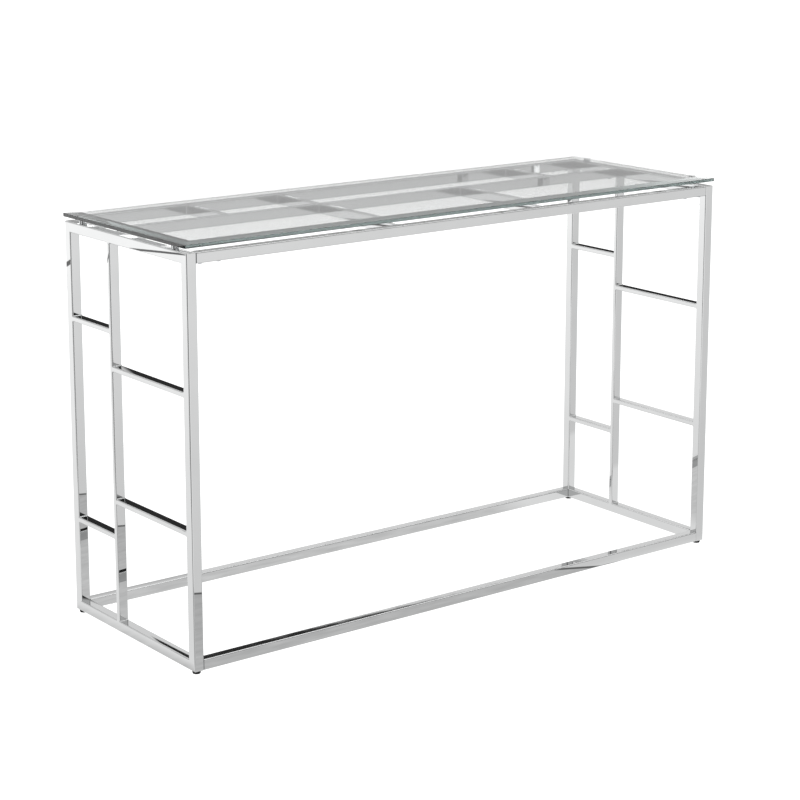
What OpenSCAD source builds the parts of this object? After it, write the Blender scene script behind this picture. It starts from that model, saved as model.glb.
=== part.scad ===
// Console table: two welded end frames of chromed steel tube, a welded lattice and two floor rails
// bolted between them, and a bevelled glass top that rests on four round standoffs.
// Millimetres. X runs along the table, Y to its rear, Z up. The origin is on the floor, at its centre.

/* [Overall size] */
// Length over the end frames
table_l = 1200; // [1000:10:1600]
// Depth over the end frames, and of the glass
table_d = 404; // [360:2:500]
// Height of the glass surface above the floor
table_h = 740; // [680:5:900]

/* [Steel tube] */
// Side of the square tube, and width of the flat tube
tube_w = 19; // [18:0.5:22]
// Thickness of the flat tube
flat_t = 9.5; // [9:0.5:12]
// Wall of every tube
wall = 1.2; // [1:0.1:1.5]
// Outside radius of every tube's long corners
corner_r = 1.5; // [1:0.1:2]

/* [Grid of the end frames] */
// Clear depth of the narrow rear bay
rear_bay = 126; // [100:1:160]
// Height of the lower rung in the rear bay, to its middle
rear_low_z = 179; // [100:1:280]
// Height of the upper rung in the rear bay, to its middle
rear_high_z = 550; // [420:1:620]
// Height of the lower rung in the front bay, to its middle
front_low_z = 245; // [100:1:280]
// Height of the upper rung in the front bay, to its middle
front_high_z = 484; // [420:1:620]

/* [Lattice under the glass] */
// Place of the rear bay's left crossbar
rear_left_x = -354; // [-420:1:-240]
// Place of the middle crossbars, one in each bay on one line
middle_x = -155; // [-200:1:-60]
// Place of the front bay's right crossbar
front_right_x = 176; // [60:1:300]
// Place of the rear bay's right crossbar
rear_right_x = 403; // [340:1:440]

/* [Glass top] */
// Thickness of the glass
glass_t = 8; // [6:1:12]
// How far the glass stands out past each end frame
glass_over = 3; // [0:0.5:10]
// Width of the bevel all round its upper face
bevel_w = 24; // [10:1:30]
// How much thinner the bevel makes the glass at its edge
bevel_drop = 2; // [1:0.5:3]
// Clear height between the lattice and the glass
glass_gap = 8; // [6:1:14]
// Diameter of the round standoffs
standoff_d = 14; // [10:1:16]
// Distance from the end of an end rail to its standoff's middle
standoff_inset = 50; // [36:1:80]

/* [Feet] */
// Clear height under the frame
foot_h = 5.5; // [5:0.5:8]
// Diameter of the foot's flat base
foot_d = 14; // [12:1:17]

/* [Hidden] */
$fn = 48;

LEFT = -1;
RIGHT = 1;
FRONT = -1;
REAR = 1;
ENDS = [LEFT, RIGHT];
SIDES = [FRONT, REAR];

// Colours
CHROME = [0.78, 0.79, 0.8];
GLASS = [0.72, 0.82, 0.8, 0.45];
BLACK = [0.05, 0.05, 0.05];
ZINC = [0.55, 0.57, 0.6];
CLEAR = [0.9, 0.93, 0.93, 0.6];

// Levels of the steel frame
frame_bottom = foot_h;
frame_top = table_h - glass_t - glass_gap;
frame_h = frame_top - frame_bottom;

// Places of the tubes
leg_x = table_l / 2 - tube_w / 2;
leg_y = table_d / 2 - tube_w / 2;
end_face_x = table_l / 2 - tube_w;
bay_edge_y = table_d / 2 - tube_w;
middle_y = bay_edge_y - rear_bay - flat_t / 2;
front_bay = middle_y - flat_t / 2 + bay_edge_y;
top_z = frame_top - tube_w / 2;
bottom_z = frame_bottom + tube_w / 2;

// Bolted joints: a rail slides over its spigot with this much play, and stops short of the end frame
spigot_play = 0.3;
joint_gap = 0.4;
spigot_l = 58;
spigot_w = tube_w - 2 * wall - 2 * spigot_play;
spigot_r = 1;
rail_screw_places = [12, 48];
tongue_l = 40;
tongue_t = flat_t - 2 * wall - 2 * spigot_play;
tongue_screw_place = 20;

// Screws: [thread, head diameter, head height, hexagon socket]
M5 = [5, 9, 2.4, 3];
M4 = [4, 8, 2.2, 2.5];
thread_play = 0.1;
hole_play = 0.5;
socket_depth = 1.5;
rail_screw_l = 13;
tongue_screw_l = 9;
standoff_screw_l = tube_w + 4.5;

// Feet
stud_d = 6;
nut_af = 10;
nut_h = 5;
foot_clear = 0.3;
stud_foot = 1.7;
stud_top = frame_bottom + wall + nut_h + 9;

// Glass and standoffs
glass_l = table_l + 2 * glass_over;
pad_t = 1.5;
pad_d = standoff_d - 2;
standoff_h = glass_gap - pad_t;
edge_break = 0.6;
over = 1;

// ---------- helpers ----------

// Rectangle with round corners, centred
module rounded_rect(w, h, r) {
    square([w - 2 * r, h], center = true);
    square([w, h - 2 * r], center = true);
    for (x = [-1, 1], y = [-1, 1])
        translate([x * (w / 2 - r), y * (h / 2 - r)])
            circle(r);
}

// Section of a tube, centred
module tube_section(w, h) {
    difference() {
        rounded_rect(w, h, corner_r);
        square([w - 2 * wall, h - 2 * wall], center = true);
    }
}

// Tubes along X, Y and Z, centred, sized over X, Y and Z
module tube_x(l, w, h) {
    rotate([90, 0, 90])
        linear_extrude(l, center = true)
            tube_section(w, h);
}

module tube_y(w, l, h) {
    rotate([90, 0, 0])
        linear_extrude(l, center = true)
            tube_section(w, h);
}

module tube_z(w, d, l) {
    linear_extrude(l, center = true)
        tube_section(w, d);
}

// Square tube up Z from the origin, its outer face on Y = 0, both ends mitred so that face is longest
module mitred_tube(l) {
    intersection() {
        translate([0, tube_w / 2, l / 2])
            tube_z(tube_w, tube_w, l);
        rotate([90, 0, 90])
            linear_extrude(tube_w + over, center = true)
                polygon([[0, 0], [tube_w, tube_w], [tube_w, l - tube_w], [0, l]]);
    }
}

// Screw pointing up from the origin, where its head meets the metal, with a hexagon socket
module screw(size, l) {
    cylinder(h = l, d = size[0]);
    difference() {
        translate([0, 0, -size[2]])
            cylinder(h = size[2], d = size[1]);
        translate([0, 0, -size[2] - over])
            cylinder(h = socket_depth + over, d = size[3] / cos(30), $fn = 6);
    }
}

// Upright hole for a screw or a stud, from z = from to z = to
module hole(d, from, to) {
    translate([0, 0, from])
        cylinder(h = to - from, d = d);
}

// Round turned piece along Z with a small chamfer on both rims
module turned(d, h, chamfer) {
    rotate_extrude()
        polygon([
            [0, 0], [d / 2 - chamfer, 0], [d / 2, chamfer],
            [d / 2, h - chamfer], [d / 2 - chamfer, h], [0, h]
        ]);
}

// Places the children at each screw of the rails at height z
module at_rail_screws(z) {
    for (x = ENDS, y = SIDES, place = rail_screw_places)
        translate([x * (end_face_x - place), y * leg_y, z])
            children();
}

// Places the children at the standoff of one corner, at height z
module at_standoff(x, y, z) {
    translate([x * leg_x, y * (table_d / 2 - standoff_inset), z])
        children();
}

// Places the children at the foot of one corner, at height z
module at_foot(x, y, z) {
    translate([x * leg_x, y * leg_y, z])
        children();
}

// Middle of a bay's clear depth, and that depth
function bay_middle(bay) = bay == REAR ? bay_edge_y - rear_bay / 2 : front_bay / 2 - bay_edge_y;
function bay_depth(bay) = bay == REAR ? rear_bay : front_bay;

// ---------- end frames ----------

module leg(x, y) {
    color(CHROME)
        translate([x * leg_x, y * table_d / 2, frame_bottom])
            rotate([0, 0, y == REAR ? 180 : 0])
                mitred_tube(frame_h);
}

module top_end_rail(x) {
    color(CHROME)
        difference() {
            translate([x * leg_x, -table_d / 2, frame_top])
                rotate([-90, 0, 0])
                    mitred_tube(table_d);
            for (y = SIDES)
                at_standoff(x, y, 0)
                    hole(M4[0] + hole_play, frame_top - tube_w - over, frame_top + over);
        }
}

module bottom_end_rail(x) {
    color(CHROME)
        difference() {
            translate([x * leg_x, table_d / 2, frame_bottom])
                rotate([90, 0, 0])
                    mitred_tube(table_d);
            for (y = SIDES)
                at_foot(x, y, 0)
                    hole(stud_d + hole_play, frame_bottom - over, frame_bottom + wall + over);
        }
}

module upright(x) {
    color(CHROME)
        translate([x * leg_x, middle_y, frame_bottom + frame_h / 2])
            tube_z(tube_w, flat_t, frame_h - 2 * tube_w);
}

module rung(x, bay, z) {
    color(CHROME)
        translate([x * leg_x, bay_middle(bay), z])
            tube_y(tube_w, bay_depth(bay), flat_t);
}

// ---------- lattice and floor rails ----------

module long_rail(y, z) {
    color(CHROME)
        difference() {
            translate([0, y * leg_y, z])
                tube_x(2 * (end_face_x - joint_gap), tube_w, tube_w);
            at_rail_screws(0)
                hole(M5[0] + hole_play, z - tube_w / 2 - over, z);
        }
}

module middle_top_rail() {
    color(CHROME)
        difference() {
            translate([0, middle_y, top_z])
                tube_x(2 * (end_face_x - joint_gap), flat_t, tube_w);
            for (x = ENDS)
                translate([x * (end_face_x - tongue_screw_place), middle_y, 0])
                    hole(M4[0] + hole_play, frame_top - tube_w - over, top_z);
        }
}

module crossbar(x, bay) {
    color(CHROME)
        translate([x, bay_middle(bay), top_z])
            tube_y(flat_t, bay_depth(bay), tube_w);
}

// ---------- joints between the frames ----------

module rail_spigots() {
    color(ZINC)
        for (z = [top_z, bottom_z])
            difference() {
                for (x = ENDS, y = SIDES)
                    translate([x * (end_face_x - spigot_l / 2), y * leg_y, z])
                        rotate([90, 0, 90])
                            linear_extrude(spigot_l, center = true)
                                rounded_rect(spigot_w, spigot_w, spigot_r);
                at_rail_screws(0)
                    hole(M5[0] + thread_play, z - tube_w / 2, z + tube_w / 2);
            }
}

module middle_rail_tongues() {
    color(ZINC)
        for (x = ENDS)
            difference() {
                translate([x * (end_face_x - tongue_l / 2), middle_y, top_z])
                    cube([tongue_l, tongue_t, spigot_w], center = true);
                translate([x * (end_face_x - tongue_screw_place), middle_y, 0])
                    hole(M4[0] + thread_play, frame_top - tube_w, top_z);
            }
}

module rail_screws() {
    color(ZINC)
        for (z = [top_z, bottom_z])
            at_rail_screws(z - tube_w / 2)
                screw(M5, rail_screw_l);
}

module tongue_screws() {
    color(ZINC)
        for (x = ENDS)
            translate([x * (end_face_x - tongue_screw_place), middle_y, frame_top - tube_w])
                screw(M4, tongue_screw_l);
}

// ---------- glass top and what holds it ----------

module standoff(x, y) {
    color(CHROME)
        at_standoff(x, y, frame_top)
            difference() {
                turned(standoff_d, standoff_h, edge_break);
                hole(M4[0] + thread_play, -over, standoff_h - over);
            }
}

module pad(x, y) {
    color(CLEAR)
        at_standoff(x, y, frame_top + standoff_h)
            turned(pad_d, pad_t, edge_break / 2);
}

module standoff_screws() {
    color(ZINC)
        for (x = ENDS, y = SIDES)
            at_standoff(x, y, frame_top - tube_w)
                screw(M4, standoff_screw_l);
}

// Wedge that cuts the bevel off one edge of the glass: the edge runs along X at y = 0, glass towards +Y
module bevel_cut(l) {
    rotate([90, 0, 90])
        linear_extrude(l + 2 * over, center = true)
            polygon([[-over, glass_t - bevel_drop], [0, glass_t - bevel_drop], [bevel_w, glass_t],
                     [bevel_w, glass_t + over], [-over, glass_t + over]]);
}

module glass_top() {
    color(GLASS)
        translate([0, 0, table_h - glass_t])
            difference() {
                translate([-glass_l / 2, -table_d / 2, 0])
                    cube([glass_l, table_d, glass_t]);
                for (turn = [0, 180]) {
                    rotate([0, 0, turn])
                        translate([0, -table_d / 2, 0])
                            bevel_cut(glass_l);
                    rotate([0, 0, turn + 90])
                        translate([0, -glass_l / 2, 0])
                            bevel_cut(table_d);
                }
            }
}

// ---------- feet ----------

module foot_nuts() {
    color(ZINC)
        for (x = ENDS, y = SIDES)
            at_foot(x, y, frame_bottom + wall)
                difference() {
                    cylinder(h = nut_h, d = nut_af / cos(30), $fn = 6);
                    hole(stud_d + thread_play, -over, nut_h + over);
                }
}

module foot(x, y) {
    base_h = foot_h - foot_clear;
    bottom_round = 1;
    top_d = foot_d + 1.5;
    color(BLACK)
        at_foot(x, y, 0)
            difference() {
                rotate_extrude()
                    polygon([
                        [0, 0], [foot_d / 2 - bottom_round, 0], [foot_d / 2, bottom_round],
                        [top_d / 2, base_h - edge_break], [top_d / 2 - edge_break, base_h], [0, base_h]
                    ]);
                hole(stud_d, stud_foot, base_h + over);
            }
}

module stud(x, y) {
    color(ZINC)
        at_foot(x, y, stud_foot)
            cylinder(h = stud_top - stud_foot, d = stud_d);
}

// ---------- the parts ----------

leg(LEFT, FRONT);  // left_front_leg
leg(LEFT, REAR);  // left_rear_leg
top_end_rail(LEFT);  // left_top_end_rail
bottom_end_rail(LEFT);  // left_bottom_end_rail
upright(LEFT);  // left_upright
rung(LEFT, FRONT, front_high_z);  // left_front_upper_rung
rung(LEFT, FRONT, front_low_z);  // left_front_lower_rung
rung(LEFT, REAR, rear_high_z);  // left_rear_upper_rung
rung(LEFT, REAR, rear_low_z);  // left_rear_lower_rung
leg(RIGHT, FRONT);  // right_front_leg
leg(RIGHT, REAR);  // right_rear_leg
top_end_rail(RIGHT);  // right_top_end_rail
bottom_end_rail(RIGHT);  // right_bottom_end_rail
upright(RIGHT);  // right_upright
rung(RIGHT, FRONT, front_high_z);  // right_front_upper_rung
rung(RIGHT, FRONT, front_low_z);  // right_front_lower_rung
rung(RIGHT, REAR, rear_high_z);  // right_rear_upper_rung
rung(RIGHT, REAR, rear_low_z);  // right_rear_lower_rung
long_rail(FRONT, top_z);  // front_top_rail
long_rail(REAR, top_z);  // rear_top_rail
middle_top_rail();
crossbar(rear_left_x, REAR);  // rear_left_crossbar
crossbar(middle_x, REAR);  // rear_middle_crossbar
crossbar(rear_right_x, REAR);  // rear_right_crossbar
crossbar(middle_x, FRONT);  // front_middle_crossbar
crossbar(front_right_x, FRONT);  // front_right_crossbar
long_rail(FRONT, bottom_z);  // front_bottom_rail
long_rail(REAR, bottom_z);  // rear_bottom_rail
rail_spigots();
middle_rail_tongues();
rail_screws();
tongue_screws();
foot_nuts();
standoff(LEFT, FRONT);  // left_front_standoff
standoff(LEFT, REAR);  // left_rear_standoff
standoff(RIGHT, FRONT);  // right_front_standoff
standoff(RIGHT, REAR);  // right_rear_standoff
pad(LEFT, FRONT);  // left_front_pad
pad(LEFT, REAR);  // left_rear_pad
pad(RIGHT, FRONT);  // right_front_pad
pad(RIGHT, REAR);  // right_rear_pad
standoff_screws();
glass_top();
foot(LEFT, FRONT);  // left_front_foot
foot(LEFT, REAR);  // left_rear_foot
foot(RIGHT, FRONT);  // right_front_foot
foot(RIGHT, REAR);  // right_rear_foot
stud(LEFT, FRONT);  // left_front_stud
stud(LEFT, REAR);  // left_rear_stud
stud(RIGHT, FRONT);  // right_front_stud
stud(RIGHT, REAR);  // right_rear_stud
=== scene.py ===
"""The looks of the console table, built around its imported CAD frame. Metres, +Z up, origin on the floor."""

from collections import namedtuple
from math import cos, pi, radians, sin

import bmesh
import bpy
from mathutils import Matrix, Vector


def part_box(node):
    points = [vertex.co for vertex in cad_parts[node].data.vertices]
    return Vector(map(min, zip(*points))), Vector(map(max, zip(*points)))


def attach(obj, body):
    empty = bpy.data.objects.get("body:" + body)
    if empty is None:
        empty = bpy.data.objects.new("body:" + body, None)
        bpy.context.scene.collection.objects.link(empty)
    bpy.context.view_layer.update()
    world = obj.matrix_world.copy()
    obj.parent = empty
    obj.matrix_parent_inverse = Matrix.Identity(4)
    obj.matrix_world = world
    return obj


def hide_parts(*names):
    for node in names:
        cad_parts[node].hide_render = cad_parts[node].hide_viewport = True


MM = 0.001
X, Y, Z = range(3)
U, V = range(2)
LOW, HIGH = range(2)
ENDS = ("left", "right")
SIDES = {"front": -1, "rear": 1}
CORNERS = [f"{end}_{side}" for end in ENDS for side in SIDES]
TOP_RAILS = [f"{side}_top_rail" for side in SIDES]
BOTTOM_RAILS = [f"{side}_bottom_rail" for side in SIDES]
SHARP_EDGE = 40  # degrees between two faces, above which their edge is shaded sharp

# Steel tube: EDGE_R breaks a bolted end's edge, WELD_R is a fillet, MITRE_R rounds an end frame's corner
WALL = 1.2 * MM
CORNER_R = 2.2 * MM
CORNER_STEPS = 6
EDGE_R = 0.9 * MM
WELD_R = 1.3 * MM
MITRE_R = 0.9 * MM
ROUND_STEPS = 4

# Screws, as in the CAD. Places are along the rails, from the end frames
Screw = namedtuple("Screw", "thread head head_height socket")
M5 = Screw(thread=5 * MM, head=9 * MM, head_height=2.4 * MM, socket=3 * MM)
M4 = Screw(thread=4 * MM, head=8 * MM, head_height=2.2 * MM, socket=2.5 * MM)
RAIL_SCREW_PLACES = (12 * MM, 48 * MM)
RAIL_SCREW_LENGTH = 13 * MM
TONGUE_SCREW_PLACE = 20 * MM
TONGUE_SCREW_LENGTH = 9 * MM
STANDOFF_SCREW_LENGTH = 23.5 * MM
SOCKET_DEPTH = 1.4 * MM
HEAD_RIM = 0.5 * MM
THREAD_CHAMFER = 0.6 * MM
CROWN_SHARE = 0.78  # the head's flat crown round the socket: its radius over the socket's width
SCREW_STEPS = 36
DOME_STEPS = 5

# Glass
BEVEL_W = 24 * MM
BEVEL_DROP = 2 * MM
ARRIS = 0.45 * MM
GLASS_CORNER_R = 2.0 * MM
GLASS_CORNER_STEPS = 6
GLASS_SHARP_EDGE = 25
LYING_FLAT = 0.9  # the top, the underside and the bevel are the faces whose normal is steeper than this

# Turned pieces
TURN_STEPS = 64
RIM_STEPS = 4
STANDOFF_RIM = 0.5 * MM
PAD_RIM_SHARE = 0.45
PAD_GAP = 0.08 * MM

# Feet. Rounds are (distance in from the side, distance off the flat face) points. PARTING_OUT is how far the
# side stands out from the sole's radius, just below the parting line, on it and just above it
FOOT_TAPER = 0.75 * MM
SOLE_ROUND = ((1.0 * MM, 0), (0.5 * MM, 0.13 * MM), (0.13 * MM, 0.5 * MM), (0, 1.0 * MM))
SHOULDER_ROUND = ((0, 0.7 * MM), (0.1 * MM, 0.3 * MM), (0.35 * MM, 0.06 * MM), (0.7 * MM, 0))
PARTING_SHARE = 0.62
PARTING_HALF = 0.15 * MM
PARTING_OUT = (0.33 * MM, 0.5 * MM, 0.42 * MM)

# Shader nodes. A Mix node's sockets for colours share their names with its other sockets
BLACK = (0, 0, 0, 1)
WHITE = (1, 1, 1, 1)
MIX_COLOUR_INPUTS = (0, 6, 7)
MIX_COLOUR_OUTPUT = 2
LEAST_DIVISOR = 0.001
NOISE_RANGE = (0.3, 0.7)  # where most of a Noise node's values are

# Stage: the floor, a second one a little lower that only chrome sees, and two black flags beside the left
# end, each from one Y to another, with open studio between them
FLOOR_REACH = 60
FLOOR_LIGHT = 1.26
MIRRORED_FLOOR_DROP = 0.5 * MM
FLAGS = {"front_flag": (-0.75, -0.32), "rear_flag": (0.32, 0.95)}
FLAG_X = -1.4
FLAG_TOP = 2.5

# The floor that chrome mirrors. In front of the table it is fanned out from the left front foot, by how far
# a place is aside over how far it is ahead: bright out to FAN_RIGHT, and dim beyond FAN_LEFT. The panel
# lights the tops of the lattice, and the strip darkens the front rail's. Pairs of pairs are two points,
# (place, light), of a straight line
TABLE_FRONT = -0.22
REAR_LIGHT_OVER_Y = (0, 1.2), (3.3, 1.6)
FRONT_LIGHT_OVER_Y = (-3.4, 1.3), (-0.5, 1.03)
FRONT_LIGHT_OVER_X = (0.5, 1.0), (3.0, 0.84)
FAN_CENTRE = (-0.6, -0.2)
FAN_NEAREST = 0.05
FAN_RIGHT = 0.32
FAN_LIGHT = 1.5
FAN_LEFT = -0.33
FAN_LEFT_LIGHT = 0.5
PANEL_X = (1.3, 4.3)
PANEL_Y = (3.4, 3.97)
PANEL_LIGHT = 5.0
STRIP_Y = (3.19, 3.27)
STRIP_LIGHT = 0.25
# The table's painted shadow on the mirrored floor, and the painted dark line along its slanted front edge
TABLE_SHADOW_X = (-0.62, 0.45)
TABLE_SHADOW_REAR = 0.24
TABLE_SHADOW_LIGHT_OVER_Y = (-0.5, 0.7), (0.2, 0.97)
TABLE_SHADOW_SHARE_OVER_NOISE = (0.3, 0.9), (0.7, 1.1)
DARK_LINE_SLOPE = 0.48
DARK_LINE_MIDDLE_Y = -0.377
DARK_LINE_HALF = 0.006
DARK_LINE_LIGHT = 0.2

# The world, by a ray's direction: height is its Z, rise is Z over |Y|, and turn is |X| over |Y|. The flat
# glass mirrors the grey wall, its left bevel the window, and the rungs' tops the dark band. Pairs of pairs
# are two points, (turn, rise), of a straight line
RING = (0.66, 0.88)
RING_LIGHT = 1.6
WALL_FOOT = 0.125
WALL_LIGHT = 0.46
DARK_LIGHT = 0.035
BAND_FOOT = 0.226
BAND_TOP = (0.62, 0.395), (0.94, 0.305)
WINDOW_RISE = (0.262, 0.34)
WINDOW_TURN = 0.58
WINDOW_DARKNESS = 0.25
STREAK_TURN = 0.591
STREAK_FOOT_STEEP = (0.5976, 0.433), (0.617, 0.4445)
STREAK_FOOT_LEVEL = (0.617, 0.4445), (0.81, 0.4487)
STREAK_TOP = (0.6, 0.4475), (0.85, 1.1)

# Camera, fitted to the photograph's outlines. Angles are in degrees
CAMERA_PLACE = (-2.468, -3.221, 1.379)
CAMERA_TURN = -37.34
CAMERA_TILT = 11.80
CAMERA_LENS = 99.8
CAMERA_SHIFT = -0.12
SENSOR_WIDTH = 36
VIEW_LIMIT = 200

BOUNCES = 128  # light crosses the glass up to 60 times between its faces on its way to an edge


# ---------- shader nodes ----------

def add_node(tree, kind, inputs=None, **settings):
    """A shader node. An input is a value, or the output socket that feeds it."""
    made = tree.nodes.new(kind)
    for name, value in settings.items():
        setattr(made, name, value)
    for name, value in (inputs or {}).items():
        if isinstance(value, bpy.types.NodeSocket):
            tree.links.new(value, made.inputs[name])
        else:
            made.inputs[name].default_value = value
    return made


def maths(tree, operation, *values):
    """The result of a Math node."""
    return add_node(tree, "ShaderNodeMath", dict(enumerate(values)), operation=operation).outputs[0]


def product(tree, first, *others):
    """The shares multiplied, so 1 only where each of them is."""
    for share in others:
        first = maths(tree, "MULTIPLY", first, share)
    return first


def line(tree, value, start, end, clamp=True):
    """A straight line through two (value, result) points."""
    (from_min, to_min), (from_max, to_max) = start, end
    return add_node(tree, "ShaderNodeMapRange", {
        "Value": value, "From Min": from_min, "From Max": from_max, "To Min": to_min, "To Max": to_max},
        clamp=clamp).outputs["Result"]


def above(tree, value, limit, soft):
    """0 below the limit and 1 above it, over a soft edge."""
    return line(tree, maths(tree, "SUBTRACT", value, limit), (-soft, 0), (soft, 1))


def below(tree, value, limit, soft):
    """1 below the limit and 0 above it, over a soft edge."""
    return above(tree, limit, value, soft)


def between(tree, value, limits, soft):
    """1 between two limits and 0 outside them, over soft edges."""
    low, high = limits
    return product(tree, above(tree, value, low, soft), below(tree, value, high, soft))


def blend(tree, low, high, share):
    """From low, where the share is 0, to high, where it is 1."""
    return add_node(tree, "ShaderNodeMix", {"Factor": share, "A": low, "B": high}).outputs["Result"]


def place_noise(tree, scale, detail=3.0, stretch=(1, 1, 1), roughness=0.5):
    """Noise over the object's own place, in metres. Stretch above 1 along an axis makes it finer there."""
    place = add_node(tree, "ShaderNodeTexCoord").outputs["Object"]
    mapping = add_node(tree, "ShaderNodeMapping", {"Vector": place, "Scale": stretch})
    noise = add_node(tree, "ShaderNodeTexNoise", {
        "Vector": mapping.outputs["Vector"], "Scale": scale, "Detail": detail, "Roughness": roughness})
    return noise.outputs["Fac"]


def vary(tree, socket, factor, low, high):
    """Feeds a number socket with the factor spread from low to high."""
    start, end = NOISE_RANGE
    tree.links.new(line(tree, factor, (start, low), (end, high)), socket)


def vary_colour(tree, socket, factor, low, high):
    """Feeds a colour socket with the factor spread between two colours."""
    mix = add_node(tree, "ShaderNodeMix", data_type="RGBA")
    share, low_colour, high_colour = (mix.inputs[i] for i in MIX_COLOUR_INPUTS)
    low_colour.default_value = (*low, 1)
    high_colour.default_value = (*high, 1)
    tree.links.new(factor, share)
    tree.links.new(mix.outputs[MIX_COLOUR_OUTPUT], socket)


def bump(tree, shader, layers):
    """Chains bump layers of (height, distance in metres) into the shader's normal."""
    normal = None
    for height, distance in layers:
        inputs = {"Height": height, "Distance": distance, "Strength": 1.0}
        if normal:
            inputs["Normal"] = normal
        normal = add_node(tree, "ShaderNodeBump", inputs).outputs["Normal"]
    tree.links.new(normal, shader.inputs["Normal"])


# ---------- materials ----------

def new_material(name, **sockets):
    """A material with a Principled shader. Sockets that are the same all over are set on the shader."""
    made = bpy.data.materials.new(name)
    made.use_nodes = True
    tree = made.node_tree
    shader = tree.nodes["Principled BSDF"]
    for socket, value in sockets.items():
        shader.inputs[socket.replace("_", " ")].default_value = value
    return made, tree, shader


def chrome(name, tint_low, tint_high, wave):
    """Polished chrome plate: a mirror with the slight waves, haze and smudges of hand polishing."""
    made, tree, shader = new_material(name, Metallic=1.0)
    vary_colour(tree, shader.inputs["Base Color"], place_noise(tree, 14, detail=4), tint_low, tint_high)
    vary(tree, shader.inputs["Roughness"], place_noise(tree, 30, detail=6, roughness=0.65), 0.004, 0.018)
    bump(tree, shader, [
        (place_noise(tree, 16, detail=1), wave),
        (place_noise(tree, 900, detail=2), 0.2e-6)])
    return made


def clear_glass():
    """Clear float glass: green only through its length, with the faintest wave and film on its faces."""
    made, tree, shader = new_material("clear_glass", Transmission_Weight=1.0, IOR=1.52)
    vary_colour(tree, shader.inputs["Base Color"], place_noise(tree, 20), (0.985, 1.0, 0.995), (1, 1, 1))
    vary(tree, shader.inputs["Roughness"], place_noise(tree, 45, detail=5), 0.0, 0.001)
    bump(tree, shader, [(place_noise(tree, 6, detail=1), 0.2e-6)])
    green = (0.72, 0.752, 0.748, 1)
    volume = add_node(tree, "ShaderNodeVolumeAbsorption", {"Color": green, "Density": 15.0})
    tree.links.new(volume.outputs["Volume"], tree.nodes["Material Output"].inputs["Volume"])
    return made


def clear_pad():
    """Clear silicone: cloudy, soft and slightly dusty."""
    made, tree, shader = new_material("clear_pad", Transmission_Weight=0.9, IOR=1.41)
    vary_colour(tree, shader.inputs["Base Color"], place_noise(tree, 260),
                (0.86, 0.88, 0.88), (0.95, 0.96, 0.96))
    vary(tree, shader.inputs["Roughness"], place_noise(tree, 700, detail=5), 0.12, 0.3)
    bump(tree, shader, [(place_noise(tree, 1400), 6e-6)])
    return made


def black_plastic():
    """Moulded black polyethylene with a fine spark texture."""
    made, tree, shader = new_material("black_plastic", IOR=1.45, Specular_IOR_Level=0.2)
    vary_colour(tree, shader.inputs["Base Color"], place_noise(tree, 160, detail=6),
                (0.004, 0.004, 0.004), (0.011, 0.011, 0.011))
    vary(tree, shader.inputs["Roughness"], place_noise(tree, 500, detail=5), 0.4, 0.6)
    bump(tree, shader, [(place_noise(tree, 2600, detail=4), 18e-6)])
    return made


def zinc_steel():
    """Bright zinc plate: grey with a bluish bloom and a fine matt grain."""
    made, tree, shader = new_material("zinc_steel", Metallic=1.0)
    vary_colour(tree, shader.inputs["Base Color"], place_noise(tree, 120, detail=5),
                (0.36, 0.38, 0.42), (0.58, 0.6, 0.62))
    vary(tree, shader.inputs["Roughness"], place_noise(tree, 420, detail=6), 0.24, 0.42)
    bump(tree, shader, [(place_noise(tree, 2200), 5e-6)])
    return made


# ---------- mesh helpers ----------

def corners_of(half_x, half_y):
    """The four corners of a rectangle round the origin, anticlockwise from the positive one."""
    return [(half_x, half_y), (-half_x, half_y), (-half_x, -half_y), (half_x, -half_y)]


def quarter_angles(steps):
    """Angles from 0 to a right angle."""
    return [step / steps * pi / 2 for step in range(steps + 1)]


def rounded_rectangle(half_u, half_v, radius, steps):
    """Points round a rectangle with round corners."""
    points = []
    for quarter, (u, v) in enumerate(corners_of(half_u - radius, half_v - radius)):
        for angle in quarter_angles(steps):
            turned_angle = angle + quarter * pi / 2
            points.append((u + radius * cos(turned_angle), v + radius * sin(turned_angle)))
    return points


def at(axis, along, u, v):
    """The point at along on an axis, and at u and v on the other two in order."""
    point = [u, v]
    point.insert(axis, along)
    return Vector(point)


def close_rings(mesh, rings, closed):
    """Faces between rings of points, and from the last to the first if closed."""
    loops = [[mesh.verts.new(point) for point in ring] for ring in rings]
    pairs = list(zip(loops, loops[1:]))
    if closed:
        pairs.append((loops[-1], loops[0]))
    for low, high in pairs:
        for i in range(len(low)):
            j = (i + 1) % len(low)
            mesh.faces.new((low[i], low[j], high[j], high[i]))
    return loops


def finish_piece(name, mesh, material, body, nodes, sharp_edge=SHARP_EDGE):
    """Makes the object, shades it smooth with flat faces kept flat, and puts it on its CAD body."""
    bmesh.ops.recalc_face_normals(mesh, faces=mesh.faces)
    data = bpy.data.meshes.new(name)
    mesh.to_mesh(data)
    mesh.free()
    data.shade_smooth()
    data.set_sharp_from_angle(angle=radians(sharp_edge))
    data.materials.append(material)
    piece = bpy.data.objects.new(name, data)
    bpy.context.scene.collection.objects.link(piece)
    normals = piece.modifiers.new("flat_faces", "WEIGHTED_NORMAL")
    normals.weight = 100
    normals.keep_sharp = True
    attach(piece, body)
    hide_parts(*nodes)
    return piece


# ---------- steel tubes ----------

def end_round(radius):
    """A quarter round at a tube's end, from the end inwards: (inset along it, distance off its face)."""
    return [(radius * (1 - cos(angle)), radius * (1 - sin(angle))) for angle in quarter_angles(ROUND_STEPS)]


def tube_frame(node, axis):
    """Middle, half sizes and limits of a tube's CAD box, as (u, v) across it and (low, high) along it."""
    low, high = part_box(node)
    across = [i for i in range(3) if i != axis]
    middle = [(low[i] + high[i]) / 2 for i in across]
    half = [(high[i] - low[i]) / 2 for i in across]
    return middle, half, (low[axis], high[axis])


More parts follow.
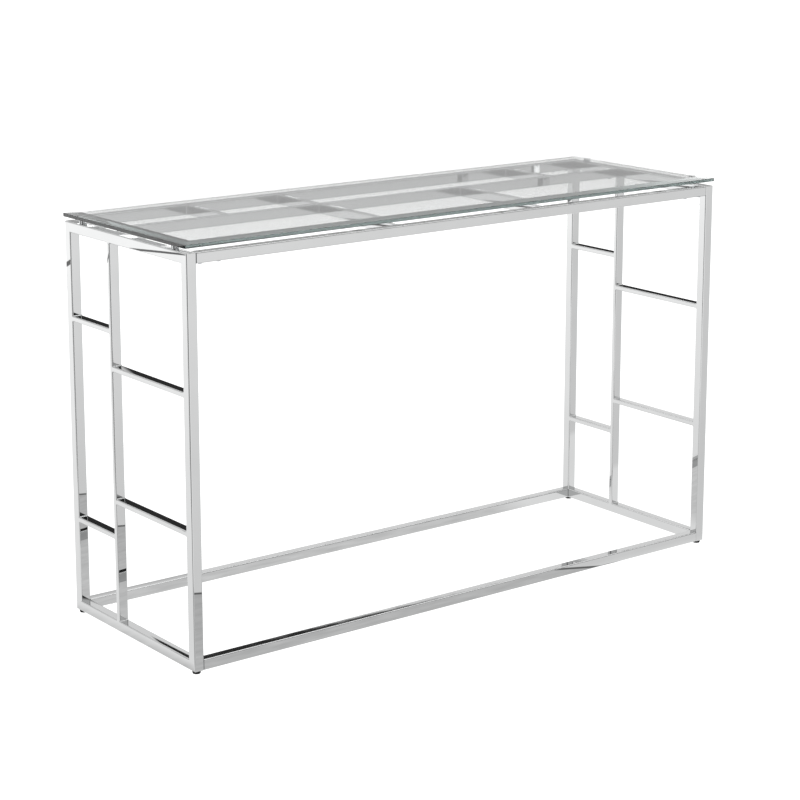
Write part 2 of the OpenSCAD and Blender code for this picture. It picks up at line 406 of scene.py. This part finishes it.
def straight_tube(node, axis, material, weld_across=None):
    """A tube with square ends. Bolted ends have a broken edge. Welded ones run into their neighbours, flush
    with their side faces, and have a polished fillet across the axis weld_across, U or V."""
    middle, half, limits = tube_frame(node, axis)
    if weld_across is None:
        stations = [(inset, [-off, -off]) for inset, off in end_round(EDGE_R)]
    else:
        stations = [(inset, [off * (across == weld_across) for across in (U, V)])
                    for inset, off in end_round(WELD_R)]
        _, end_growth = stations[0]
        stations.insert(0, (-CORNER_R, end_growth))

    def ring(along, grow, radius=CORNER_R):
        """The section at one place along the tube, grown by a distance across each axis."""
        points = rounded_rectangle(half[U] + grow[U], half[V] + grow[V], radius, CORNER_STEPS)
        return [at(axis, along, middle[U] + u, middle[V] + v) for u, v in points]

    rings = [ring(limits[LOW] + inset, grow) for inset, grow in stations]
    rings += [ring(limits[HIGH] - inset, grow) for inset, grow in reversed(stations)]
    end_inset, _ = stations[0]
    for along in (limits[HIGH] - end_inset, limits[LOW] + end_inset):
        rings.append(ring(along, [-WALL, -WALL], CORNER_R - WALL))
    mesh = bmesh.new()
    close_rings(mesh, rings, closed=True)
    finish_piece(f"{node}_tube", mesh, material, "frame", [node])


def mitred_tube(node, axis, outer, material):
    """A tube of an end frame's border, mitred at both ends. Outer is the side of v, -1 or 1, facing out."""
    middle, half, limits = tube_frame(node, axis)
    outer_face = middle[V] + outer * half[V]

    def ring(points, end, angle, lead):
        """The section bent towards the mitre at one end, LOW or HIGH: its outer corner is a small round."""
        placed = []
        for u, v in points:
            depth = half[V] - outer * v
            inset = depth + lead
            if depth < MITRE_R:
                inset = MITRE_R - (MITRE_R - depth) * sin(angle)
                depth = MITRE_R - (MITRE_R - depth) * cos(angle)
            along = limits[LOW] + inset if end == LOW else limits[HIGH] - inset
            placed.append(at(axis, along, middle[U] + u, outer_face - outer * depth))
        return placed

    skin = rounded_rectangle(half[U], half[V], CORNER_R, CORNER_STEPS)
    bore = rounded_rectangle(half[U] - WALL, half[V] - WALL, CORNER_R - WALL, CORNER_STEPS)
    turns = [step / ROUND_STEPS for step in range(ROUND_STEPS + 1)]
    rings = [ring(skin, LOW, turn * pi / 4, (1 - turn) * MITRE_R) for turn in reversed(turns)]
    rings += [ring(skin, HIGH, turn * pi / 4, (1 - turn) * MITRE_R) for turn in turns]
    rings += [ring(bore, end, pi / 4, 0) for end in (HIGH, LOW)]
    mesh = bmesh.new()
    close_rings(mesh, rings, closed=True)
    finish_piece(f"{node}_tube", mesh, material, "frame", [node])


def end_frame(end, material):
    """The welded frame of one end: its border, the upright and the four rungs."""
    for side, outer in SIDES.items():
        mitred_tube(f"{end}_{side}_leg", Z, outer, material)
        for level in ("upper", "lower"):
            straight_tube(f"{end}_{side}_{level}_rung", Y, material, weld_across=V)
    mitred_tube(f"{end}_top_end_rail", Y, 1, material)
    mitred_tube(f"{end}_bottom_end_rail", Y, -1, material)
    straight_tube(f"{end}_upright", Z, material, weld_across=V)


def lattice_and_floor_rails(material):
    """The rails under the glass, the crossbars between them, and the two floor rails."""
    for rail in TOP_RAILS + ["middle_top_rail"] + BOTTOM_RAILS:
        straight_tube(rail, X, material)
    for bar in ("rear_left", "rear_middle", "rear_right", "front_middle", "front_right"):
        straight_tube(f"{bar}_crossbar", Y, material, weld_across=U)


# ---------- glass ----------

def glass_plate(material):
    """The glass: flat faces, a bevel whose four planes meet on the corners' diagonals, and fine arrises."""
    low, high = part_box("glass_top")
    half_x, half_y = high.x, high.y
    slope = BEVEL_DROP / BEVEL_W

    def level(x, y):
        """Height of the bevel over a point."""
        from_edge = min(half_x - abs(x), half_y - abs(y))
        return high.z - BEVEL_DROP + slope * from_edge

    def outline(inset):
        """Points round the plate, inset from its edge."""
        return rounded_rectangle(half_x - inset, half_y - inset, GLASS_CORNER_R - inset, GLASS_CORNER_STEPS)

    edge = outline(0)
    inner = outline(ARRIS)
    rings = [
        [Vector((x, y, low.z)) for x, y in inner],
        [Vector((x, y, low.z + ARRIS)) for x, y in edge],
        [Vector((x, y, level(x, y) - ARRIS)) for x, y in edge],
        [Vector((x, y, level(x, y))) for x, y in inner]]
    mesh = bmesh.new()
    loops = close_rings(mesh, rings, closed=False)
    mesh.faces.new(list(reversed(loops[0])))
    flat = [mesh.verts.new((x, y, high.z)) for x, y in corners_of(half_x - BEVEL_W, half_y - BEVEL_W)]
    mesh.faces.new(flat)
    rim = loops[-1]
    corner_points = GLASS_CORNER_STEPS + 1
    for quarter in range(4):
        diagonal = quarter * corner_points + GLASS_CORNER_STEPS // 2
        side = [rim[(diagonal + step) % len(rim)] for step in range(corner_points + 1)]
        mesh.faces.new(side + [flat[(quarter + 1) % 4], flat[quarter]])
    plate = finish_piece(
        "glass_plate", mesh, material, "glass", ["glass_top"], GLASS_SHARP_EDGE)
    for face in plate.data.polygons:
        face.use_smooth = abs(face.normal.z) < LYING_FLAT


# ---------- turned pieces ----------

def turned(mesh, centre, profile, steps=TURN_STEPS):
    """A solid of revolution round Z. The profile is (radius, height) from axis to axis, without the points
    on the axis. A radius may be a function of the angle."""
    rings = []
    for radius, height in profile:
        ring = []
        for step in range(steps):
            angle = step / steps * 2 * pi
            reach = radius(angle) if callable(radius) else radius
            ring.append(centre + Vector((reach * cos(angle), reach * sin(angle), height)))
        rings.append(ring)
    loops = close_rings(mesh, rings, closed=False)
    for loop in (loops[0], loops[-1]):
        mesh.faces.new(loop)


def foot_of_box(node):
    """Middle of a CAD node's lowest face, and the node's diameter and height."""
    low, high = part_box(node)
    middle = (low + high) / 2
    return Vector((middle.x, middle.y, low.z)), high.x - low.x, high.z - low.z


def round_disc(radius, height, rim):
    """Profile of a disc whose two rims are round."""
    lower = [(radius - rim + rim * sin(angle), rim - rim * cos(angle))
             for angle in quarter_angles(RIM_STEPS)]
    upper = [(reach, height - rise) for reach, rise in reversed(lower)]
    return lower + upper


def standoff(corner, material):
    """A turned chromed column with round rims."""
    node = f"{corner}_standoff"
    base, diameter, height = foot_of_box(node)
    mesh = bmesh.new()
    turned(mesh, base, round_disc(diameter / 2, height, STANDOFF_RIM))
    finish_piece(f"{node}_column", mesh, material, "frame", [node])


def pad(corner, material):
    """A clear disc between the standoff and the glass, clear of both so that light crosses its faces."""
    node = f"{corner}_pad"
    base, diameter, height = foot_of_box(node)
    base.z += PAD_GAP
    height -= 2 * PAD_GAP
    mesh = bmesh.new()
    turned(mesh, base, round_disc(diameter / 2, height, height * PAD_RIM_SHARE))
    finish_piece(f"{node}_disc", mesh, material, "frame", [node])


def moulded_foot(corner, material):
    """A screw-in foot: a tapered base with a round sole edge, a parting line and a flat shoulder."""
    node = f"{corner}_foot"
    base, diameter, height = foot_of_box(node)
    shoulder_r = diameter / 2
    sole_r = shoulder_r - FOOT_TAPER
    part_z = height * PARTING_SHARE
    ridge_heights = (part_z - PARTING_HALF, part_z, part_z + PARTING_HALF)
    sole = [(sole_r - inset, rise) for inset, rise in SOLE_ROUND]
    ridge = [(sole_r + out, ridge_z) for out, ridge_z in zip(PARTING_OUT, ridge_heights)]
    shoulder = [(shoulder_r - inset, height - drop) for inset, drop in SHOULDER_ROUND]
    mesh = bmesh.new()
    turned(mesh, base, sole + ridge + shoulder)
    finish_piece(f"{node}_moulding", mesh, material, f"{corner}_glide", [node])


# ---------- screws ----------

def add_screw(mesh, place, size, length):
    """A button-head screw with a hexagon socket. It points up from where its head meets the metal."""
    thread_r = size.thread / 2
    head_r = size.head / 2
    crown_r = size.socket * CROWN_SHARE
    dome_h = size.head_height - HEAD_RIM

    def hexagon(angle):
        """Distance from the axis to the socket's side."""
        sector = pi / 3
        return size.socket / 2 / cos((angle + sector / 2) % sector - sector / 2)

    shank = [(thread_r - THREAD_CHAMFER, length), (thread_r, length - THREAD_CHAMFER), (thread_r, 0)]
    rim = [(head_r, 0)]
    dome = [(crown_r + (head_r - crown_r) * cos(angle), -HEAD_RIM - dome_h * sin(angle))
            for angle in quarter_angles(DOME_STEPS)]
    socket = [(hexagon, -size.head_height), (hexagon, SOCKET_DEPTH - size.head_height)]
    turned(mesh, place, shank + rim + dome + socket, SCREW_STEPS)


def screw_set(name, places, size, length, material):
    """All the screws of one CAD node, as one piece."""
    mesh = bmesh.new()
    for place in places:
        add_screw(mesh, place, size, length)
    finish_piece(f"{name}_heads", mesh, material, "frame", [name])


def screws(material):
    """The screws under the rails, under the middle rail's ends and under the standoffs."""
    left_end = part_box("left_front_leg")[HIGH].x
    right_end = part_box("right_front_leg")[LOW].x
    under_end_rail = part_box("left_top_end_rail")[LOW].z

    def under_rail(rail, place):
        """Points under a rail, at one distance from both end frames."""
        low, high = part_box(rail)
        return [Vector((x, (low.y + high.y) / 2, low.z)) for x in (left_end + place, right_end - place)]

    rail_places = []
    for rail in TOP_RAILS + BOTTOM_RAILS:
        for place in RAIL_SCREW_PLACES:
            rail_places += under_rail(rail, place)
    tongue_places = under_rail("middle_top_rail", TONGUE_SCREW_PLACE)
    standoff_places = []
    for corner in CORNERS:
        middle, _, _ = foot_of_box(f"{corner}_standoff")
        standoff_places.append(Vector((middle.x, middle.y, under_end_rail)))
    screw_set("rail_screws", rail_places, M5, RAIL_SCREW_LENGTH, material)
    screw_set("tongue_screws", tongue_places, M4, TONGUE_SCREW_LENGTH, material)
    screw_set("standoff_screws", standoff_places, M4, STANDOFF_SCREW_LENGTH, material)


# ---------- stage ----------

def stage_sheet(name, corners, material):
    """A flat piece of the stage."""
    mesh = bmesh.new()
    mesh.faces.new([mesh.verts.new(corner) for corner in corners])
    data = bpy.data.meshes.new(name)
    mesh.to_mesh(data)
    mesh.free()
    data.materials.append(material)
    sheet = bpy.data.objects.new(name, data)
    bpy.context.scene.collection.objects.link(sheet)
    return sheet


def only_in_reflections(sheet):
    """Chrome mirrors the sheet, and nothing else sees it."""
    sheet.visible_camera = False
    sheet.visible_diffuse = False
    sheet.visible_transmission = False
    sheet.visible_shadow = False


def light_table():
    """The pale floor: white acrylic, lit from below, so that it takes no shadow."""
    made, tree, shader = new_material(
        "light_table", Roughness=0.9, Specular_IOR_Level=0.0,
        Emission_Color=WHITE, Emission_Strength=FLOOR_LIGHT)
    vary_colour(tree, shader.inputs["Base Color"], place_noise(tree, 3),
                (0.03, 0.03, 0.03), (0.05, 0.05, 0.05))
    return made


def light_in_front(tree, x, y):
    """The mirrored floor's light in front of the table, fanned out from the left front foot."""
    fan_x, fan_y = FAN_CENTRE
    ahead = maths(tree, "MAXIMUM", maths(tree, "SUBTRACT", fan_y, y), FAN_NEAREST)
    aside = maths(tree, "DIVIDE", maths(tree, "SUBTRACT", x, fan_x), ahead)
    light = product(tree, line(tree, y, *FRONT_LIGHT_OVER_Y), line(tree, x, *FRONT_LIGHT_OVER_X))
    light = blend(tree, light, FAN_LIGHT, below(tree, aside, FAN_RIGHT, soft=0.04))
    return blend(tree, light, FAN_LEFT_LIGHT, below(tree, aside, FAN_LEFT, soft=0.03))


def with_table_shadow(tree, x, y, light):
    """The light, with the table's painted shadow, greyer and streaked, and a painted dark line along its
    front.
    """
    dark_line_y = maths(tree, "MULTIPLY_ADD", x, DARK_LINE_SLOPE, DARK_LINE_MIDDLE_Y)
    from_dark_line = maths(tree, "SUBTRACT", y, dark_line_y)
    left, right = TABLE_SHADOW_X
    along = product(tree, above(tree, x, left, soft=0.01), below(tree, x, right, soft=0.05))
    # Painted shade: the table's shadow on the mirrored floor, greyer and streaked
    in_table_shadow = product(
        tree, along, above(tree, from_dark_line, 0, soft=0.004), below(tree, y, TABLE_SHADOW_REAR, soft=0.04))
    shadow_noise = place_noise(tree, 14, detail=6, stretch=(1, 4, 1))
    streaks = line(tree, shadow_noise, *TABLE_SHADOW_SHARE_OVER_NOISE)
    light = blend(tree, light, product(tree, line(tree, y, *TABLE_SHADOW_LIGHT_OVER_Y), streaks), in_table_shadow)
    # A painted dark line along the painted shadow's front edge
    on_dark_line = below(tree, maths(tree, "ABSOLUTE", from_dark_line), DARK_LINE_HALF, soft=0.002)
    return blend(tree, light, DARK_LINE_LIGHT, product(tree, along, on_dark_line))


def mirrored_floor():
    """What the chrome mirrors below it: light that changes over the floor, with the table's painted shadow
    under it and a bright panel and a dark strip far behind it."""
    made, tree, shader = new_material(
        "mirrored_floor", Base_Color=BLACK, Specular_IOR_Level=0.0, Emission_Color=WHITE)
    place = add_node(tree, "ShaderNodeTexCoord").outputs["Object"]
    parts = add_node(tree, "ShaderNodeSeparateXYZ", {"Vector": place})
    x, y = parts.outputs["X"], parts.outputs["Y"]
    in_front = below(tree, y, TABLE_FRONT, soft=0.02)
    light = blend(tree, line(tree, y, *REAR_LIGHT_OVER_Y), light_in_front(tree, x, y), in_front)
    on_panel = product(tree, between(tree, x, PANEL_X, soft=0.01), between(tree, y, PANEL_Y, soft=0.01))
    light = blend(tree, light, PANEL_LIGHT, on_panel)
    light = blend(tree, light, STRIP_LIGHT, between(tree, y, STRIP_Y, soft=0.005))
    tree.links.new(with_table_shadow(tree, x, y, light), shader.inputs["Emission Strength"])
    return made


def black_flag():
    """Black studio cloth."""
    made, tree, shader = new_material("black_flag", Roughness=0.9)
    vary_colour(tree, shader.inputs["Base Color"], place_noise(tree, 40),
                (0.01, 0.01, 0.01), (0.02, 0.02, 0.02))
    return made


def stage():
    """The floor, the floor that the chrome mirrors, and the flags that draw the dark line down each leg."""
    wide = corners_of(FLOOR_REACH, FLOOR_REACH)
    floor = stage_sheet("floor", [(x, y, 0) for x, y in wide], light_table())
    floor.visible_glossy = False
    mirrored = [(x, y, -MIRRORED_FLOOR_DROP) for x, y in wide]
    only_in_reflections(stage_sheet("mirrored_floor", mirrored, mirrored_floor()))
    cloth = black_flag()
    for name, (near, far) in FLAGS.items():
        corners = [(FLAG_X, near, 0), (FLAG_X, far, 0), (FLAG_X, far, FLAG_TOP), (FLAG_X, near, FLAG_TOP)]
        only_in_reflections(stage_sheet(name, corners, cloth))


def dark_sky(tree, rise, turn):
    """Share of darkness above the wall: a band with a lighter window in it, and a streak over the band."""
    band_top = line(tree, turn, *BAND_TOP)
    band = product(tree, above(tree, rise, BAND_FOOT, soft=0.002), below(tree, rise, band_top, soft=0.003))
    streak_foot = maths(tree, "MINIMUM", line(tree, turn, *STREAK_FOOT_STEEP, clamp=False),
                        line(tree, turn, *STREAK_FOOT_LEVEL, clamp=False))
    streak_top = line(tree, turn, *STREAK_TOP)
    streak = product(
        tree, above(tree, turn, STREAK_TURN, soft=0.002),
        above(tree, rise, streak_foot, soft=0.0004), below(tree, rise, streak_top, soft=0.001))
    dark = maths(tree, "MAXIMUM", band, streak)
    window = product(
        tree, between(tree, rise, WINDOW_RISE, soft=0.004), below(tree, turn, WINDOW_TURN, soft=0.003))
    return product(tree, dark, blend(tree, 1.0, WINDOW_DARKNESS, window))


def studio_world():
    """White all round, with a brighter ring overhead, and the grey wall and dark sky that chrome needs."""
    world = bpy.data.worlds.new("studio")
    world.use_nodes = True
    bpy.context.scene.world = world
    tree = world.node_tree
    direction = add_node(tree, "ShaderNodeTexCoord").outputs["Generated"]
    parts = add_node(tree, "ShaderNodeSeparateXYZ", {"Vector": direction})
    x, y, height = (parts.outputs[axis] for axis in "XYZ")
    depth = maths(tree, "MAXIMUM", maths(tree, "ABSOLUTE", y), LEAST_DIVISOR)
    rise = maths(tree, "DIVIDE", height, depth)
    turn = maths(tree, "DIVIDE", maths(tree, "ABSOLUTE", x), depth)

    rear_left = product(tree, below(tree, x, 0, soft=0.02), above(tree, y, 0, soft=0.02))
    dark = blend(tree, dark_sky(tree, rise, turn), 0.0, rear_left)
    wall = product(
        tree, above(tree, height, WALL_FOOT, soft=0.008), below(tree, rise, BAND_FOOT, soft=0.002))
    light = blend(tree, 1.0, RING_LIGHT, between(tree, height, RING, soft=0.02))
    light = blend(tree, light, WALL_LIGHT, wall)
    light = blend(tree, light, DARK_LIGHT, dark)
    background = tree.nodes["Background"]
    background.inputs["Color"].default_value = WHITE
    tree.links.new(light, background.inputs["Strength"])


def camera():
    """The photograph's viewing angle."""
    turn = radians(CAMERA_TURN)
    tilt = radians(CAMERA_TILT)
    back = Vector((sin(turn) * cos(tilt), -cos(turn) * cos(tilt), sin(tilt)))
    data = bpy.data.cameras.new("camera")
    data.lens = CAMERA_LENS
    data.sensor_width = SENSOR_WIDTH
    data.shift_y = CAMERA_SHIFT
    data.clip_end = VIEW_LIMIT
    made = bpy.data.objects.new("camera", data)
    made.location = CAMERA_PLACE
    made.rotation_mode = "QUATERNION"
    made.rotation_quaternion = (-back).to_track_quat("-Z", "Y")
    bpy.context.scene.collection.objects.link(made)
    bpy.context.scene.camera = made


def keep_cad_pieces(material):
    """The spigots, tongues, nuts and studs keep their CAD shapes, in zinc."""
    studs = [f"{corner}_stud" for corner in CORNERS]
    for node in ["rail_spigots", "middle_rail_tongues", "foot_nuts"] + studs:
        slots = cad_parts[node].data.materials
        slots.clear()
        slots.append(material)


# ---------- build ----------

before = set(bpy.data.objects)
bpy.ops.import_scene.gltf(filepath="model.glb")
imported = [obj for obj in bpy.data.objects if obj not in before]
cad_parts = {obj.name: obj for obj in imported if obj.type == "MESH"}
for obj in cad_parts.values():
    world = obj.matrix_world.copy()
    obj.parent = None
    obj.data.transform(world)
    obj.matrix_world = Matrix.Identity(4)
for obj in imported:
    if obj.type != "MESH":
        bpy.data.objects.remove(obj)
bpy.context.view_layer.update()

tube_chrome = chrome("chrome_tube", (0.525, 0.529, 0.53), (0.575, 0.579, 0.58), wave=10e-6)
standoff_chrome = chrome("chrome_standoff", (0.53, 0.54, 0.545), (0.58, 0.59, 0.595), wave=2e-6)
plastic = black_plastic()
silicone = clear_pad()
zinc = zinc_steel()

for end_name in ENDS:
    end_frame(end_name, tube_chrome)
lattice_and_floor_rails(tube_chrome)
glass_plate(clear_glass())
for corner_name in CORNERS:
    standoff(corner_name, standoff_chrome)
    pad(corner_name, silicone)
    moulded_foot(corner_name, plastic)
screws(zinc)
keep_cad_pieces(zinc)

stage()
studio_world()
camera()
scene = bpy.context.scene
scene.view_settings.view_transform = "Standard"
scene.cycles.max_bounces = BOUNCES
scene.cycles.glossy_bounces = BOUNCES
scene.cycles.transmission_bounces = BOUNCES
